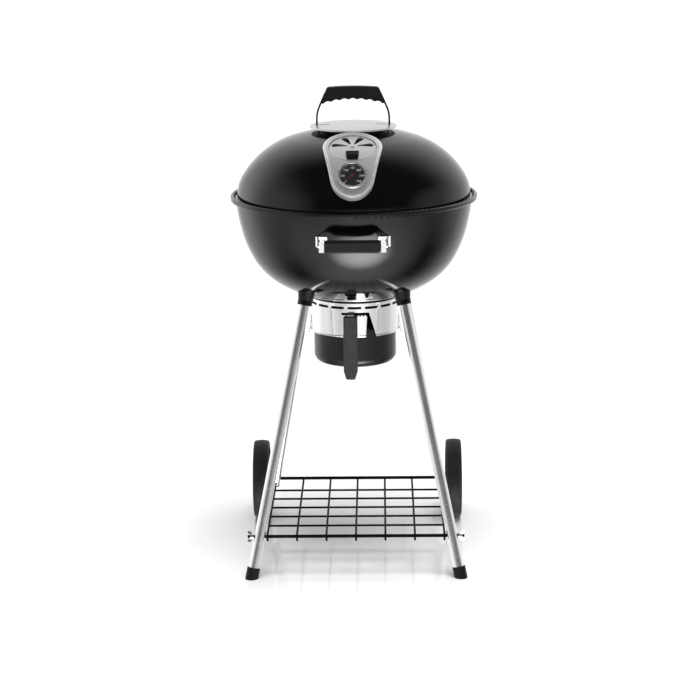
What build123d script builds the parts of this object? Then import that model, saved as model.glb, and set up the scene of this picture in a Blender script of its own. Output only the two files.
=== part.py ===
from build123d import *
import os
from math import asin, atan2, cos, degrees, radians, sin, sqrt

# Kettle charcoal grill. Millimetres, Z up. The kettle's axis is X = Y = 0, the ground is Z = 0,
# the front, with the thermometer and the carrying handle, is -Y, and the wheels are at the back.

# Bowl and lid: pressed dishes, each drawn by one meridian of arcs that run into each other.
BOWL_RADIUS = 282.0          # outside of the bowl's wall where its curve starts
BOWL_TOP = 866.0             # height where the curve starts, just under the rim
BOWL_LEAN = 5.5              # lean of the wall there, in degrees
BOWL_ARCS = ((1.472, 16.5), (0.957, 30.0), (0.582, 57.5))   # radius over BOWL_RADIUS, last latitude
LID_ARCS = ((0.318, 30.0), (0.739, 72.5))                   # radius over the lid's, last latitude
SHEET = 1.5                  # enamelled steel of both dishes
SEAT_RISE = 2.5              # from the start of the bowl's curve up to the underside of the seat
SEAT_THICK = 2.0
BEAD_REACH = 13.0            # the rolled rim stands this far outside the bowl's wall
BEAD_WIDTH = 7.5
BEAD_HEIGHT = 12.5
LID_INSET = 3.3              # the lid's wall stands inside the bowl's by this much
LID_SKIRT = 8.5              # upright wall under the lid's curve
LID_BEAD = 5.5               # rolled edge of the lid
LIFT_GAP = 0.5               # play between the lid's edge and the seat
HOOK_LATITUDE = 24.0         # the hook inside the lid
HOOK_REACH = -22.0
HOOK_WIDTH = 22.0

# Lid handle and heat shield
SHIELD_RADIUS = 103.0
SHIELD_RISE = 4.0
SHIELD_SHEET = 1.0
SHIELD_GAP = 12.5            # from the lid's surface up to the shield's edge, at the feet
FOOT_X = 65.0
FOOT_Y = 70.0
FOOT_WIDTH = 20.0
FOOT_DEPTH = 14.0
HANDLE_WIRE = 4.4
WIRE_ROOT_X = 62.0           # where the wire goes through the lid
WIRE_WIDE_X = 86.0           # where it stands outside the slots of the shield
GRIP_HEIGHT = 100.0          # from the lid's top to the crown of the grip's straight line
GRIP_HALF = 61.0             # half of the grip's top edge
GRIP_END_X = 78.0
GRIP_DROP = 38.0             # from the grip's top edge down to its ends
GRIP_DEEP = 28.0             # grip's height at the middle
GRIP_THICK = 20.0
FINGER_PITCH = 19.5
FINGER_RADIUS = 12.0
FINGER_DEPTH = 2.6

# Vent and thermometer plate
PLATE_LATITUDE = 52.0        # direction in which the plate is pressed
PLATE_RAISE = 8.0
PLATE_WALL = 1.8
PLATE_LARGE = 68.0
PLATE_SMALL = 50.0
PLATE_LENGTH = 99.0          # between the centres of the plate's two ends
VENT_LATITUDE = 67.5
VENT_RADIUS = 54.5
VENT_RISE = 4.9              # the disc is a shallow cap, so it turns in its round recess
VENT_SHEET = 1.2
VENT_GAP = 0.4
VENT_SINK = 3.6              # recess floor below the plate's surface
VENT_SLOTS = (-75.0, -25.0, 25.0, 75.0)
SLOT_IN = 13.0
SLOT_OUT = 42.5
SLOT_TIP = 1.8
SLOT_WIDE = 7.6
RIVET_SHANK = 2.5
TAB_IN = 25.0
TAB_OUT = 52.0
TAB_WIDTH = 31.0
TAB_HEIGHT = 9.0
GAUGE_LATITUDE = 41.0
GAUGE_RADIUS = 33.5
GAUGE_WALL = 1.5
GAUGE_DEPTH = 7.5
GAUGE_NEEDLE = 24.0
NEEDLE_REST = 225.0          # degrees from the dial's +X, seen from outside
PIVOT_RADIUS = 1.0
PIVOT_PLAY = 0.05
STEM_RADIUS = 3.0
STEM_LENGTH = 75.0

# Front carrying handle
HANDLE_REACH = 340.0         # from the kettle's axis to the face of the grip
BAR_HALF = 64.0
BAR_DEPTH = 26.0
BAR_HEIGHT = 27.0
BAR_Z = 811.0
STRAP_THICK = 3.0
STRAP_HEIGHT = 25.0
STRAP_X = 76.0
STRAP_FRONT = -HANDLE_REACH + 7.0
STRAP_FOOT_X = 85.0

# Grates inside the bowl
GRATE_WIRE = 6.0
GRATE_PITCH = 18.0
GRATE_PLAY = 6.0             # from the cooking grate's rim to the bowl's wall
COOKING_DROP = 22.0          # from the start of the bowl's curve down to the cooking grate
COAL_DROP = 163.0            # the same, down to the charcoal grate
COAL_PITCH = 24.0
TAB_REACH = 16.0
TAB_SHEET = 2.0

# Legs
LEG_TUBE = 25.4
LEG_WALL = 1.5
LEG_PLAY = 0.15
SOCKET_XY = 113.0            # where a leg's axis meets the bowl
SOCKET_OUTER = 35.0
SOCKET_FLARE = 46.0
SOCKET_LENGTH = 26.0
SCREW_SHANK = 2.5
FOOT_SPREAD_X = 248.0
FOOT_SPREAD_Y = 255.0
CAP_OUTER = 31.0
CAP_HEIGHT = 26.0
CAP_FLOOR = 3.0
REAR_LEG_X = 211.0           # rear legs cross the axle here
LEG_TAIL = 16.0              # rear leg below the axle

# Wheels, axle and shelf
WHEEL_RADIUS = 100.0
WHEEL_WIDTH = 38.0
WHEEL_IN_X = 227.5
WHEEL_CROWN = 2.0            # the tread is this much higher in its middle than at its shoulders
TREAD = 17.0                 # thickness of the wheel's outer ring
HUB_RADIUS = 22.0
WEB = 8.0
HUB_SINK = 9.0               # the hub's outer face lies this far inside the wheel's
SPOKES = 8
AXLE = 8.0
AXLE_PLAY = 0.07             # running clearance, on the radius
AXLE_CAP_RADIUS = 15.0
AXLE_CAP_RISE = 5.0
SHELF_FRONT_Z = 97.0
SHELF_WIRE = 5.0
SHELF_PITCH = 69.8
SHELF_LONG_WIRES = 7
SHELF_CROSS_WIRES = 5
SHELF_HOOK = 9.0
SHELF_TAIL = 12.0            # how far the wires run on behind the axle
NUT_LENGTH = 8.0
WING_SPAN = 26.0

# Ash catcher
RING_RADIUS = 106.0
RING_HEIGHT = 82.0
RING_SHEET = 1.2
RING_GAP = 3.0               # from the bowl down to the ring's top edge
RING_SLOTS = 16
RING_SLOT_LONG = 33.0
RING_SLOT_HIGH = 6.0
RING_SLOT_DROP = 10.5        # from the top edge to the slots' middle
LUG_TURNS = (0, 90, 180)     # where lugs bolt the ring to the bowl, in degrees from +X
NOTCHES = 4                  # index notches under the slot of the lever's arm
NOTCH_WIDTH = 4.4
NOTCH_PITCH = 7.6
NOTCH_DEPTH = 3.0
PAN_RADIUS = 100.0
PAN_SHEET = 1.2
PAN_DEPTH = 95.0
PAN_OVERLAP = 17.0           # length of the pan inside the ring
PAN_CORNER = 20.0
PAN_LIP = 2.8

# Ash sweeper: three blades over the bowl's vents, turned by the lever in front
LEVER_REST = -4.5            # lever's angle from straight ahead, towards +X
LEVER_SHUT = -12.0
LEVER_OPEN = 14.0
ARM_DROP = 25.0              # from the ring's top edge to the arm
ARM_THICK = 3.0
ARM_WIDTH = 16.0
ARM_REACH = 122.0
BLADE_RADIUS = 136.0
BLADE_HALF = 13.5
BLADE_SHEET = 1.5
BLADE_GAP = 0.6
VENT_INNER = 42.0
VENT_OUTER = 92.0
VENT_HALF = 11.0
PIN_RADIUS = 5.0
PIN_PLAY = 0.07
BEARING_RADIUS = 9.0
LEVER_WIDTH = 33.0
LEVER_THICK = 17.0
LEVER_LENGTH = 153.0
LEVER_TIP = 20.0
LEVER_TIP_WIDTH = 21.0

LOW = (Align.CENTER, Align.CENTER, Align.MIN)
HIGH = (Align.CENTER, Align.CENTER, Align.MAX)


class Meridian:
    """Outline of a pressed dish from its rim to the axis.

    A point is named by its latitude: 0 where the surface is upright, 90 on the axis.
    """

    def __init__(self, radius, height, lean, arcs, up):
        self.up = up
        self.lean = lean
        self.spans = []
        r = radius
        z = height
        begin = lean
        for share, end in arcs:
            size = share * radius
            centre = (r - size * cos(radians(begin)), z - up * size * sin(radians(begin)))
            self.spans.append((centre, size, begin, end))
            r = centre[0] + size * cos(radians(end))
            z = centre[1] + up * size * sin(radians(end))
            begin = end
        size = r / cos(radians(begin))
        self.spans.append(((0.0, z - up * size * sin(radians(begin))), size, begin, 90.0))

    def point(self, latitude, offset=0.0):
        """Radius and height at a latitude, on the surface or off it along its normal."""
        for centre, size, begin, end in self.spans:
            if latitude <= end:
                break
        reach = size + offset
        across = centre[0] + reach * cos(radians(latitude))
        return across, centre[1] + self.up * reach * sin(radians(latitude))

    def height(self, radius, offset=0.0):
        """Height of the surface this far from the axis."""
        low = self.lean
        high = 90.0
        for _ in range(50):
            middle = (low + high) / 2
            if self.point(middle, offset)[0] > radius:
                low = middle
            else:
                high = middle
        return self.point(low, offset)[1]

    def radius(self, height, offset=0.0):
        """Distance from the axis at a height."""
        low = self.lean
        high = 90.0
        for _ in range(50):
            middle = (low + high) / 2
            if self.up * (self.point(middle, offset)[1] - height) < 0:
                low = middle
            else:
                high = middle
        return self.point(low, offset)[0]

    def solid(self, offset=0.0, lead=10.0):
        """All that the surface encloses, with a straight lead-in at the rim."""
        lean = radians(self.lean)
        rim = self.point(self.lean, offset)
        mouth = (rim[0] + lead * sin(lean), rim[1] - self.up * lead * cos(lean))
        edges = [Line((0, mouth[1]), mouth), Line(mouth, rim)]
        for centre, size, begin, end in self.spans:
            middle = (begin + end) / 2
            reach = size + offset
            points = []
            for latitude in (begin, middle, end):
                across = centre[0] + reach * cos(radians(latitude))
                points.append((max(across, 0.0), centre[1] + self.up * reach * sin(radians(latitude))))
            edges.append(ThreePointArc(*points))
        edges.append(Line(edges[-1] @ 1, (0, mouth[1])))
        return turned(edges)

    def front(self, latitude, offset=0.0):
        """Plane on the front of the surface: +Z outwards, +Y uphill, +X to the right."""
        across, height = self.point(latitude, offset)
        outwards = (0, -cos(radians(latitude)), self.up * sin(radians(latitude)))
        return Plane(origin=(0, -across, height), x_dir=(1, 0, 0), z_dir=outwards)


def turned(edges):
    """Solid turned about Z from a closed outline drawn in X (radius) and Z."""
    return revolve(Plane.XZ * make_face(edges), Axis.Z)


def ring(inner, outer, low, high):
    """Plain ring about Z."""
    return turned(Polyline((inner, low), (outer, low), (outer, high), (inner, high), close=True).edges())


def rod(start, end, radius):
    """Round bar between two points."""
    start = Vector(*start)
    span = Vector(*end) - start
    return Plane(origin=start, z_dir=span) * Cylinder(radius, span.length, align=LOW)


def cap(radius, rise, thick):
    """Shallow domed disc about Z, with the top of its crown at Z = 0."""
    crown = (radius ** 2 + rise ** 2) / (2 * rise)
    half = radius / 2
    sag = crown - sqrt(crown ** 2 - half ** 2)
    edges = [
        ThreePointArc((0, 0), (half, -sag), (radius, -rise)),
        Line((radius, -rise), (radius, -rise - thick)),
        ThreePointArc((radius, -rise - thick), (half, -sag - thick), (0, -thick)),
        Line((0, -thick), (0, 0)),
    ]
    return turned(edges)


def drop_shape(large, small, length):
    """Rounded outline with its large end at the origin and its small end at Y = -length."""
    lean = asin((large - small) / length)
    side = (cos(lean), -sin(lean))
    right_top = (large * side[0], large * side[1])
    right_low = (small * side[0], small * side[1] - length)
    edges = [
        ThreePointArc((-right_top[0], right_top[1]), (0, large), right_top),
        Line(right_top, right_low),
        ThreePointArc(right_low, (0, -length - small), (-right_low[0], right_low[1])),
        Line((-right_low[0], right_low[1]), (-right_top[0], right_top[1])),
    ]
    return make_face(edges)


def sector(inner, outer, half, corner):
    """Part of a flat ring, centred on +X, with rounded corners."""
    turn = radians(half)

    def spot(radius, angle):
        return radius * cos(angle), radius * sin(angle)

    edges = [
        ThreePointArc(spot(outer, -turn), spot(outer, 0), spot(outer, turn)),
        Line(spot(outer, turn), spot(inner, turn)),
        ThreePointArc(spot(inner, turn), spot(inner, 0), spot(inner, -turn)),
        Line(spot(inner, -turn), spot(outer, -turn)),
    ]
    face = make_face(edges)
    return fillet(face.vertices(), corner)


def hexagon(radius, height):
    return extrude(RegularPolygon(radius, 6), height)


BOWL = Meridian(BOWL_RADIUS, BOWL_TOP, BOWL_LEAN, BOWL_ARCS, up=-1)
SEAT_Z = BOWL_TOP + SEAT_RISE + SEAT_THICK
LID_RADIUS = BOWL_RADIUS - LID_INSET
LID_EDGE_Z = SEAT_Z + LIFT_GAP
LID = Meridian(LID_RADIUS, LID_EDGE_Z + LID_SKIRT, 0.0, LID_ARCS, up=1)
LID_TOP = LID.point(90.0)[1]
GAUGE = LID.front(GAUGE_LATITUDE, PLATE_RAISE)
BOWL_BOTTOM = BOWL.point(90.0)[1]
SHIELD_EDGE_Z = LID.height(sqrt(FOOT_X ** 2 + FOOT_Y ** 2)) + SHIELD_GAP
RING_TOP = BOWL.height(RING_RADIUS) - RING_GAP
RING_LOW = RING_TOP - RING_HEIGHT
PAN_TOP = RING_LOW + PAN_OVERLAP
PAN_LOW = PAN_TOP - PAN_DEPTH
ARM_Z = RING_TOP - ARM_DROP
SOCKET_TOP_Z = BOWL.height(sqrt(2) * SOCKET_XY)
AXLE_Y = HANDLE_REACH - WHEEL_RADIUS      # the wheels reach back as far as the handle reaches forward
AXLE_Z = WHEEL_RADIUS
AXLE_HOLE = AXLE / 2 + AXLE_PLAY


def leg_line(rear):
    """Top and foot of the right-hand leg's axis; a rear leg runs through the axle."""
    top = Vector(SOCKET_XY, SOCKET_XY if rear else -SOCKET_XY, SOCKET_TOP_Z)
    if not rear:
        return top, Vector(FOOT_SPREAD_X, -FOOT_SPREAD_Y, 0)
    axle = Vector(REAR_LEG_X, AXLE_Y, AXLE_Z)
    return top, axle + (axle - top).normalized() * LEG_TAIL


def on_line(line, height):
    """Point of a leg's axis at a height."""
    top, foot = line
    return top + (foot - top) * ((top.Z - height) / (top.Z - foot.Z))


ROD_POINT = on_line(leg_line(False), SHELF_FRONT_Z)


# --- bowl ---

def bottom_vents():
    """Three openings under the blades, where the blades stand with the lever shut."""
    face = sector(VENT_INNER, VENT_OUTER, VENT_HALF, corner=5.0)
    height = BOWL.height(BLADE_RADIUS) - BOWL_BOTTOM
    prism = Pos(0, 0, BOWL_BOTTOM - SHEET) * extrude(face, height)
    return [Rot(0, 0, -90 + LEVER_SHUT + turn) * prism for turn in (60, 180, 300)]


def bowl_shell():
    wall = BOWL.solid() - BOWL.solid(-SHEET, lead=20.0)
    wall -= Pos(0, 0, SEAT_Z) * Cylinder(BOWL_RADIUS + BEAD_REACH, 40, align=LOW)
    low = BOWL_TOP + SEAT_RISE
    bead_out = BOWL_RADIUS + BEAD_REACH
    bead_in = bead_out - BEAD_WIDTH
    bead = ring(bead_in, bead_out, low, low + BEAD_HEIGHT)
    bead = fillet(bead.edges().filter_by(GeomType.CIRCLE), BEAD_WIDTH * 0.45)
    seat = ring(BOWL_RADIUS - SHEET / 2, bead_in + BEAD_WIDTH / 2, low, SEAT_Z)
    shell = wall + seat + bead
    shell -= Pos(0, 0, BOWL_BOTTOM - 5) * Cylinder(BEARING_RADIUS, 20, align=LOW)
    for vent in bottom_vents():
        shell -= vent
    return shell


def sweep_bearing():
    """Flanged bush in the middle of the bowl, in which the sweeper's pin turns."""
    low = BOWL_BOTTOM - 2.5
    bush = ring(PIN_RADIUS + PIN_PLAY, BEARING_RADIUS, low, BOWL_BOTTOM + SHEET + BLADE_GAP / 2)
    flange = ring(PIN_RADIUS + PIN_PLAY, BEARING_RADIUS + 5.0, low, BOWL_BOTTOM - 0.2)
    return bush + flange


def grate_tab(height):
    """Shelf with a web under it, welded to the inside of the bowl on +X; its top is at a height."""
    wall = BOWL.radius(height, -SHEET)
    plate = Box(60, 22, TAB_SHEET, align=(Align.MIN, Align.CENTER, Align.MAX))
    shelf = Pos(wall - TAB_REACH, 0, height) * plate
    web = Plane.XZ * make_face(Polyline(
        (wall - TAB_REACH + 3, height - TAB_SHEET / 2), (wall + 20, height - TAB_SHEET / 2),
        (wall + 20, height - 34), (wall - 1, height - 30), close=True).edges())
    tab = shelf + extrude(web, TAB_SHEET / 2, both=True)
    return tab & BOWL.solid(-SHEET, lead=20.0)


def grate_tabs(height, turn):
    tab = grate_tab(height)
    return Compound([Rot(0, 0, turn + quarter) * tab for quarter in (0, 90, 180, 270)])


# --- grates ---

def wire_grate(radius, height, pitch, cross):
    """Parallel wires welded to a round rim and to cross wires under them."""
    wire = GRATE_WIRE / 2
    overlap = 0.8
    rim = Pos(0, 0, height) * Torus(radius - wire, wire)
    grate = rim
    count = int((radius - 2 * GRATE_WIRE) / pitch)
    top = height + wire - overlap / 2
    for index in range(-count, count + 1):
        across = index * pitch
        half = sqrt((radius - wire) ** 2 - across ** 2)
        grate += rod((across, -half, top), (across, half, top), wire * 0.8)
    for offset in cross:
        half = sqrt((radius - wire) ** 2 - offset ** 2)
        low = height - wire * 0.6
        grate += rod((-half, offset, low), (half, offset, low), wire)
    return grate


def cooking_grate_height():
    return BOWL_TOP - COOKING_DROP


def coal_grate_height():
    return BOWL_TOP - COAL_DROP


def cooking_grate():
    height = cooking_grate_height()
    return wire_grate(BOWL.radius(height, -SHEET) - GRATE_PLAY, height, GRATE_PITCH, (-130.0, 0.0, 130.0))


def charcoal_grate():
    height = coal_grate_height()
    reach = BOWL.radius(height - GRATE_WIRE, -SHEET) - GRATE_PLAY
    return wire_grate(reach, height, COAL_PITCH, (-90.0, 90.0))


# --- legs ---

def leg_socket(rear):
    """Sleeve welded under the bowl, flared where it meets it."""
    top, foot = leg_line(rear)
    along = (foot - top).normalized()
    start = top - along * 30
    end = top + along * SOCKET_LENGTH
    sleeve = rod(start, end, SOCKET_OUTER / 2)
    flare = Plane(origin=start, z_dir=along) * Cone(SOCKET_FLARE / 2 + 4, SOCKET_OUTER / 2, 44, align=LOW)
    bore = rod(start, end + along * 5, LEG_TUBE / 2 + LEG_PLAY)
    bore += screw_plane(rear) * Cylinder(SCREW_SHANK, 8, align=HIGH)
    return sleeve + flare - bore - BOWL.solid()


def leg(rear):
    top, foot = leg_line(rear)
    along = (foot - top).normalized()
    start = top - along * 20
    end = foot if rear else foot + along * 20
    tube = rod(start, end, LEG_TUBE / 2) - rod(start - along, end + along, LEG_TUBE / 2 - LEG_WALL)
    tube -= BOWL.solid(1.0)
    if rear:
        return tube - rod((REAR_LEG_X - 30, AXLE_Y, AXLE_Z), (REAR_LEG_X + 30, AXLE_Y, AXLE_Z), AXLE_HOLE)
    tube -= Pos(0, 0, CAP_FLOOR + 0.2) * Box(700, 700, 60, align=HIGH)
    return tube - rod((0, ROD_POINT.Y, ROD_POINT.Z), (400, ROD_POINT.Y, ROD_POINT.Z), AXLE_HOLE)


def foot_cap():
    """Plastic cup on the end of a front leg, cut level with the ground."""
    top, foot = leg_line(False)
    along = (foot - top).normalized()
    mouth = foot - along * CAP_HEIGHT
    body = rod(mouth, foot + along * 20, CAP_OUTER / 2)
    bore = rod(mouth - along, foot + along * 20, LEG_TUBE / 2 + LEG_PLAY)
    bore -= Pos(0, 0, CAP_FLOOR) * Box(700, 700, 60, align=HIGH)
    return body - Box(700, 700, 60, align=HIGH) - bore


def rear_plug():
    """Plug that closes the lower end of a rear leg."""
    top, end = leg_line(True)
    along = (end - top).normalized()
    stem = rod(end - along * 6, end, LEG_TUBE / 2 - LEG_WALL - 0.1)
    return stem + rod(end, end + along * 2.5, LEG_TUBE / 2)


def screw_plane(rear):
    """Seat of a socket's screw, on the side towards the middle of the frame."""
    top, foot = leg_line(rear)
    along = (foot - top).normalized()
    inwards = Vector(0, -1 if rear else 1, 0)
    inwards = (inwards - along * inwards.dot(along)).normalized()
    seat = top + along * (SOCKET_LENGTH - 9)
    return Plane(origin=seat + inwards * (SOCKET_OUTER / 2 + 0.4), z_dir=inwards)


def socket_screw(rear):
    """Hexagon screw that runs through the side of a socket to its leg."""
    shank_length = (SOCKET_OUTER - LEG_TUBE) / 2 + 0.2
    return screw_plane(rear) * (hexagon(5.0, 4.0) + Cylinder(SCREW_SHANK, shank_length, align=HIGH))


# --- wheels and axle ---

def wheel():
    """Moulded wheel with its axle along Z, its inner face at Z = 0 and its outer face up."""
    rim_in = WHEEL_RADIUS - TREAD
    groove = 1.2
    shoulder = 4.0
    edge = WHEEL_RADIUS - WHEEL_CROWN
    edges = [
        Line((rim_in, 0), (edge - shoulder, 0)),
        ThreePointArc((edge - shoulder, 0), (edge - shoulder * 0.3, shoulder * 0.3), (edge, shoulder)),
        ThreePointArc((edge, shoulder), (WHEEL_RADIUS, WHEEL_WIDTH / 2), (edge, WHEEL_WIDTH - shoulder)),
        ThreePointArc((edge, WHEEL_WIDTH - shoulder),
                      (edge - shoulder * 0.3, WHEEL_WIDTH - shoulder * 0.3),
                      (edge - shoulder, WHEEL_WIDTH)),
        Line((edge - shoulder, WHEEL_WIDTH), (rim_in, WHEEL_WIDTH)),
        Line((rim_in, WHEEL_WIDTH), (rim_in, 0)),
    ]
    body = turned(edges)
    for share in (0.3, 0.5, 0.7):
        middle = WHEEL_WIDTH * share
        body -= ring(WHEEL_RADIUS - groove, WHEEL_RADIUS + 1, middle - 1.2, middle + 1.2)
    body += ring(HUB_RADIUS - 5, rim_in + 1, WHEEL_WIDTH / 2 - WEB / 2, WHEEL_WIDTH / 2 + WEB / 2)
    body += Cylinder(HUB_RADIUS, WHEEL_WIDTH - HUB_SINK, align=LOW)
    deep = WHEEL_WIDTH - HUB_SINK - 7
    rib = Box(rim_in - HUB_RADIUS + 4, 5, deep, align=(Align.MIN, Align.CENTER, Align.MIN))
    rib = Pos(HUB_RADIUS - 2, 0, 5) * rib
    for spoke in range(SPOKES):
        body += Rot(0, 0, spoke * 360 / SPOKES) * rib
    body -= Pos(0, 0, -1) * Cylinder(AXLE_HOLE, WHEEL_WIDTH + 2, align=LOW)
    return body


def on_axle(shape, side):
    """Put a wheel-side part, made along Z, on the axle on one side."""
    plane = Plane(origin=(side * WHEEL_IN_X, AXLE_Y, AXLE_Z), x_dir=(0, 0, 1), z_dir=(side, 0, 0))
    return plane * shape


def wheel_axle():
    half = WHEEL_IN_X + WHEEL_WIDTH - HUB_SINK + 4.0
    return rod((-half, AXLE_Y, AXLE_Z), (half, AXLE_Y, AXLE_Z), AXLE / 2)


def axle_cap():
    """Domed push-on cap on the axle's end, outside the wheel."""
    start = WHEEL_WIDTH - HUB_SINK + 0.5
    rise = AXLE_CAP_RISE
    dome = Pos(0, 0, start + 1.5 + rise) * cap(AXLE_CAP_RADIUS, rise, 1.5)
    collar = Pos(0, 0, start) * Cylinder(AXLE / 2 + 3, rise, align=LOW)
    bore = Pos(0, 0, start - 1) * Cylinder(AXLE / 2 + 0.02, 4.6, align=LOW)
    return dome + collar - bore


def axle_spacer():
    """Sleeve between a rear leg and its wheel."""
    length = WHEEL_IN_X - REAR_LEG_X - LEG_TUBE / 2 - 1.8
    return Pos(0, 0, -0.4) * (Cylinder(6.5, length, align=HIGH) - Cylinder(AXLE_HOLE, length, align=HIGH))


# --- shelf ---

def shelf_rack():
    """Welded wires that hook over the front rod and end under the axle.

    The two outer wires end in front of the rear legs.
    """
    front = Vector(0, ROD_POINT.Y, ROD_POINT.Z)
    back = Vector(0, AXLE_Y, AXLE_Z)
    span = (back - front).length
    wire = SHELF_WIRE / 2
    lift = AXLE / 2 + wire + 0.1
    half = (SHELF_LONG_WIRES - 1) / 2 * SHELF_PITCH
    rise = lift + 0.4
    fall = (rise + lift) / span
    tail = span + SHELF_TAIL
    corner = (0, -lift, rise)
    path = FilletPolyline((0, -lift, -SHELF_HOOK), corner, (0, tail, rise - fall * tail), radius=lift - 0.2)
    long_wire = sweep(Plane(origin=path @ 0, z_dir=path % 0) * Circle(wire), path=path)
    behind = Box(20, 60, 60, align=(Align.CENTER, Align.MIN, Align.CENTER))
    short_wire = long_wire - Pos(0, span - LEG_TUBE / 2 - 9, 0) * behind
    rack = Pos(-half, 0, 0) * short_wire + Pos(half, 0, 0) * short_wire
    for index in range(1, SHELF_LONG_WIRES - 1):
        rack += Pos(index * SHELF_PITCH - half, 0, 0) * long_wire
    gap = span / (SHELF_CROSS_WIRES + 1)
    for index in range(1, SHELF_CROSS_WIRES + 1):
        low = rise - fall * index * gap - SHELF_WIRE + 0.8
        rack += rod((-half - 3, index * gap, low), (half + 3, index * gap, low), wire)
    along = (back - front).normalized()
    return Plane(origin=front, x_dir=(1, 0, 0), z_dir=Vector(1, 0, 0).cross(along)) * rack


def shelf_front_rod():
    half = ROD_POINT.X + LEG_TUBE / 2 + NUT_LENGTH + 8
    return rod((-half, ROD_POINT.Y, ROD_POINT.Z), (half, ROD_POINT.Y, ROD_POINT.Z), AXLE / 2)


def wing_nut(side):
    start = ROD_POINT.X + LEG_TUBE / 2 + 2.0
    barrel = Cylinder(6.5, NUT_LENGTH, align=LOW)
    wing = Plane.XZ * make_face(Polyline(
        (4.0, 1.5), (WING_SPAN / 2, NUT_LENGTH - 1), (WING_SPAN / 2, NUT_LENGTH + 6),
        (WING_SPAN / 2 - 5, NUT_LENGTH + 6), (4.0, NUT_LENGTH - 1), close=True).edges())
    wing = extrude(fillet(wing.vertices().sort_by(Axis.Z)[-2:], 2.0), 1.25, both=True)
    bore = Pos(0, 0, -1) * Cylinder(AXLE / 2, NUT_LENGTH + 2, align=LOW)
    nut = barrel + wing + Rot(0, 0, 180) * wing - bore
    plane = Plane(origin=(side * start, ROD_POINT.Y, ROD_POINT.Z), x_dir=(0, 0, 1), z_dir=(side, 0, 0))
    return plane * (Rot(0, 0, 20) * nut)


# --- ash catcher ---

def ash_ring():
    body = ring(RING_RADIUS - RING_SHEET, RING_RADIUS, RING_LOW, RING_TOP)
    bead = Pos(0, 0, RING_LOW + 2.2) * Torus(RING_RADIUS + 0.4, 2.0)
    body += bead
    body -= ring(PAN_RADIUS - 10, RING_RADIUS - RING_SHEET, RING_LOW - 2, RING_LOW + 8)
    slot = Pos(RING_RADIUS, 0, RING_TOP - RING_SLOT_DROP) * Box(10, RING_SLOT_LONG, RING_SLOT_HIGH)
    slot = fillet(slot.edges().filter_by(Axis.X), RING_SLOT_HIGH * 0.4)
    for index in range(RING_SLOTS):
        body -= Rot(0, 0, -90 + index * 360 / RING_SLOTS) * slot
    return body - lever_window()


def lever_window():
    """Slot for the lever's arm, with index teeth, and the wide way in from the ring's lower edge."""
    play = ARM_THICK / 2 + 1.6
    half_arm = ARM_WIDTH / 2 + 0.8
    left = RING_RADIUS * sin(radians(LEVER_SHUT)) - half_arm
    right = RING_RADIUS * sin(radians(LEVER_OPEN)) + half_arm
    slot = Pos((left + right) / 2, 0, ARM_Z) * Box(right - left, 30, 2 * play)
    for index in range(NOTCHES):
        x = right - NOTCH_PITCH * (index + 0.7)
        slot += Pos(x, 0, ARM_Z - play) * Box(NOTCH_WIDTH, 30, 2 * NOTCH_DEPTH)
    way_in = Plane.XZ * make_face(Polyline(
        (right - 4, ARM_Z + play), (right, ARM_Z + play), (right + 19, RING_LOW - 5),
        (right - 8, RING_LOW - 5), close=True).edges())
    window = slot + extrude(way_in, 15, both=True)
    return Pos(0, -RING_RADIUS * 0.97, 0) * window


def ash_ring_tab():
    """Lug on +X that bolts the ring's top edge to the bowl's underside."""
    blade = Pos(RING_RADIUS, 0, RING_TOP - 20) * Box(1.5, 16, 60, align=(Align.MIN, Align.CENTER, Align.MIN))
    skin = BOWL.solid(1.9) - BOWL.solid(0.3)
    flange = skin & (Pos(RING_RADIUS, 0, BOWL_BOTTOM - 20) *
                     Box(20, 16, 80, align=(Align.MIN, Align.CENTER, Align.MIN)))
    return (blade - BOWL.solid(0.3)) + flange


def ash_ring_screw():
    across = RING_RADIUS + 13
    latitude = degrees(asin(across / BOWL.spans[-1][1]))
    height = BOWL.height(across, 1.9)
    turn = radians(latitude)
    plane = Plane(origin=(across, 0, height - 0.2), z_dir=(sin(turn), 0, -cos(turn)))
    return plane * hexagon(5.0, 3.5)


def ash_pan():
    """Deep-drawn pan with a rolled lip; it drops out of the ring."""
    inner_corner = PAN_CORNER - PAN_SHEET
    drop = PAN_CORNER * (1 - sqrt(0.5))
    inner_drop = inner_corner * (1 - sqrt(0.5))
    floor = PAN_LOW + PAN_SHEET
    inside = PAN_RADIUS - PAN_SHEET
    edges = [
        Line((0, PAN_LOW), (PAN_RADIUS - PAN_CORNER, PAN_LOW)),
        ThreePointArc((PAN_RADIUS - PAN_CORNER, PAN_LOW), (PAN_RADIUS - drop, PAN_LOW + drop),
                      (PAN_RADIUS, PAN_LOW + PAN_CORNER)),
        Line((PAN_RADIUS, PAN_LOW + PAN_CORNER), (PAN_RADIUS, PAN_TOP)),
        Line((PAN_RADIUS, PAN_TOP), (inside, PAN_TOP)),
        Line((inside, PAN_TOP), (inside, floor + inner_corner)),
        ThreePointArc((inside, floor + inner_corner), (inside - inner_drop, floor + inner_drop),
                      (inside - inner_corner, floor)),
        Line((inside - inner_corner, floor), (0, floor)),
        Line((0, floor), (0, PAN_LOW)),
    ]
    lip = ring(PAN_RADIUS - PAN_SHEET / 2, PAN_RADIUS + PAN_LIP, PAN_TOP - 4.0, PAN_TOP)
    lip = fillet(lip.edges().filter_by(GeomType.CIRCLE).sort_by(SortBy.RADIUS)[-2:], 1.4)
    return turned(edges) + lip


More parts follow.
